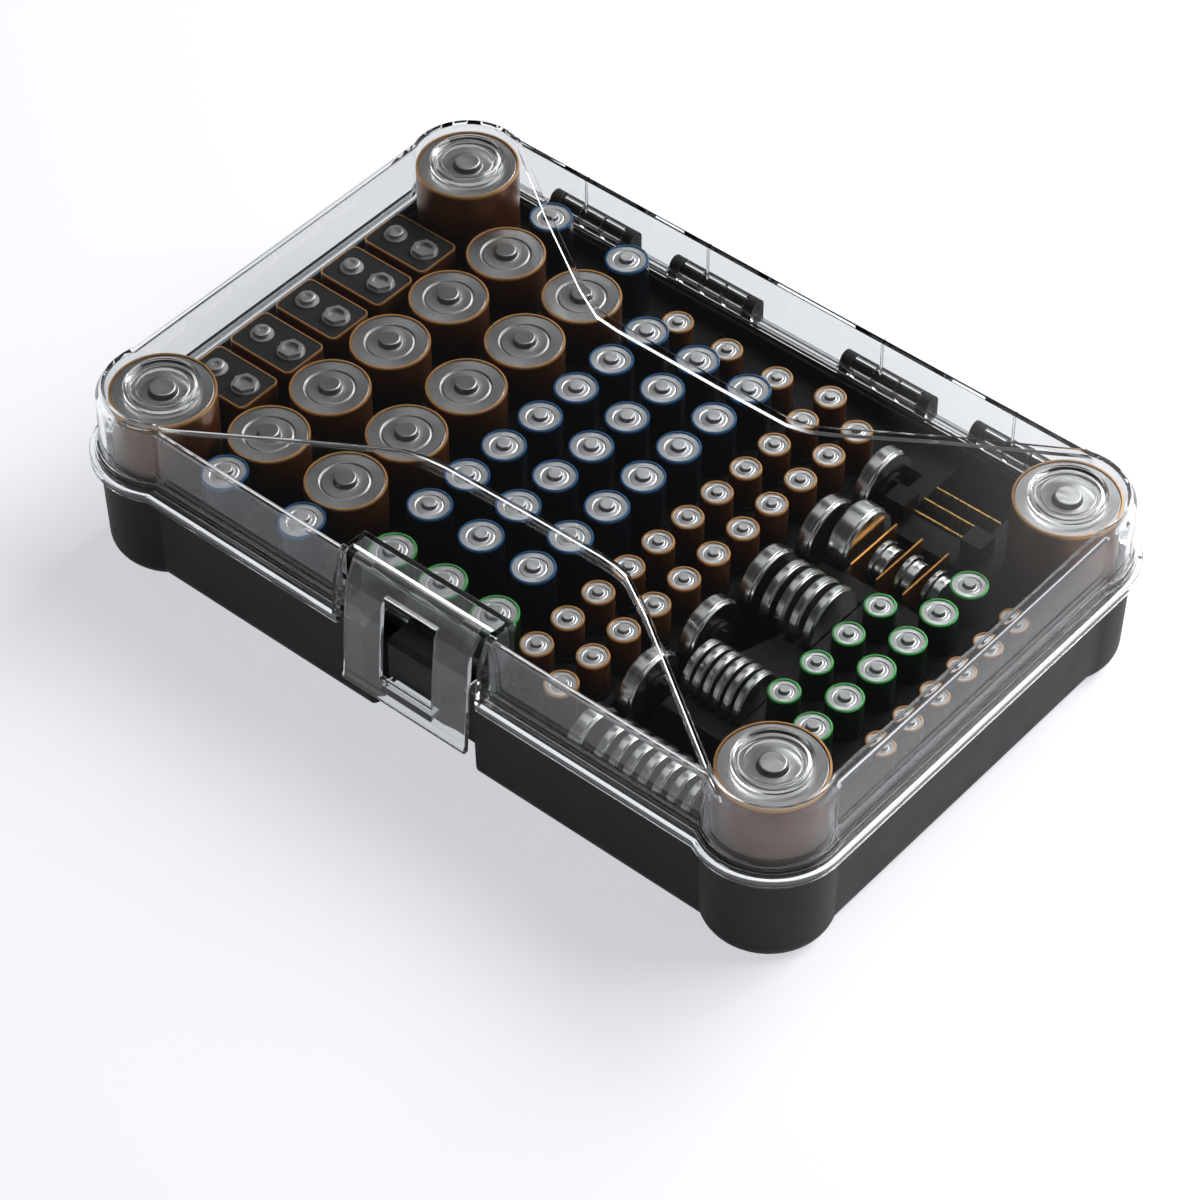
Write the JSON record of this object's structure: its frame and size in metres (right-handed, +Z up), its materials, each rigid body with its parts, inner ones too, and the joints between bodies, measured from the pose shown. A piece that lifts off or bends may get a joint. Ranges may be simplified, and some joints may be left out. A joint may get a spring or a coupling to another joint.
{
  "type": "battery storage case",
  "caption": "Shallow storage case for household batteries: dark tub, pocketed insert tray, hinged smoke-clear lid with a front latch",
  "frame": {"origin": "centre of the bounding box, on the underside that rests on the table", "axes": "+X along the front from left to right, +Y from the latch to the hinges, +Z up"},
  "size_m": [0.293, 0.1964, 0.0664],
  "materials": {
    "base_plastic": "fine satin moulding",
    "tray_plastic": "black satin moulding",
    "smoke_clear": "clear smoke-tinted moulding",
    "pin_steel": "blackened",
    "can_steel": "turned, satin",
    "copper_sleeve": "metallic film",
    "blue_sleeve": "metallic film",
    "green_sleeve": "metallic film",
    "block_top": "satin",
    "terminal_steel": "plated",
    "coin_steel": "polished",
    "copper_plate": "copper sheet",
    "strip_brass": "polished sheet"
  },
  "bodies": {
    "case": {"base_shell": "base_plastic", "battery_tray": "tray_plastic", "hinge_pins": "pin_steel", "d_cell_cans": "can_steel", "d_cell_jackets": "copper_sleeve", "c_cell_cans": "can_steel", "c_cell_jackets": "copper_sleeve", "aa_cell_cans": "can_steel", "aa_cell_jackets": "blue_sleeve", "aa_green_cans": "can_steel", "aa_green_jackets": "green_sleeve", "aaa_cell_cans": "can_steel", "aaa_cell_jackets": "copper_sleeve", "short_green_cans": "can_steel", "short_green_jackets": "green_sleeve", "small_green_cans": "can_steel", "small_green_jackets": "green_sleeve", "small_copper_cans": "can_steel", "small_copper_jackets": "copper_sleeve", "block_jackets": "copper_sleeve", "block_tops": "block_top", "block_terminals": "terminal_steel", "thick_coin_cells": "coin_steel", "extra_thick_coin_cell": "coin_steel", "thin_coin_cells": "coin_steel", "small_coin_cells": "coin_steel", "button_cells": "coin_steel", "divider_plates": "copper_plate", "brass_strips": "strip_brass"},
    "lid": {"lid": "smoke_clear", "latch_pins": "pin_steel"},
    "latch": {"latch": "smoke_clear"}
  },
  "joints": [
    {"name": "lid_hinge", "type": "hinge", "parent": "case", "child": "lid", "pos_m": [0, 0.09517, 0.042], "axis": [-1, 0, 0], "range_deg": [0, 110]},
    {"name": "latch_hinge", "type": "hinge", "parent": "lid", "child": "latch", "pos_m": [0, -0.08808, 0.06267], "axis": [-1, 0, 0], "range_deg": [0, 100]}
  ]
}
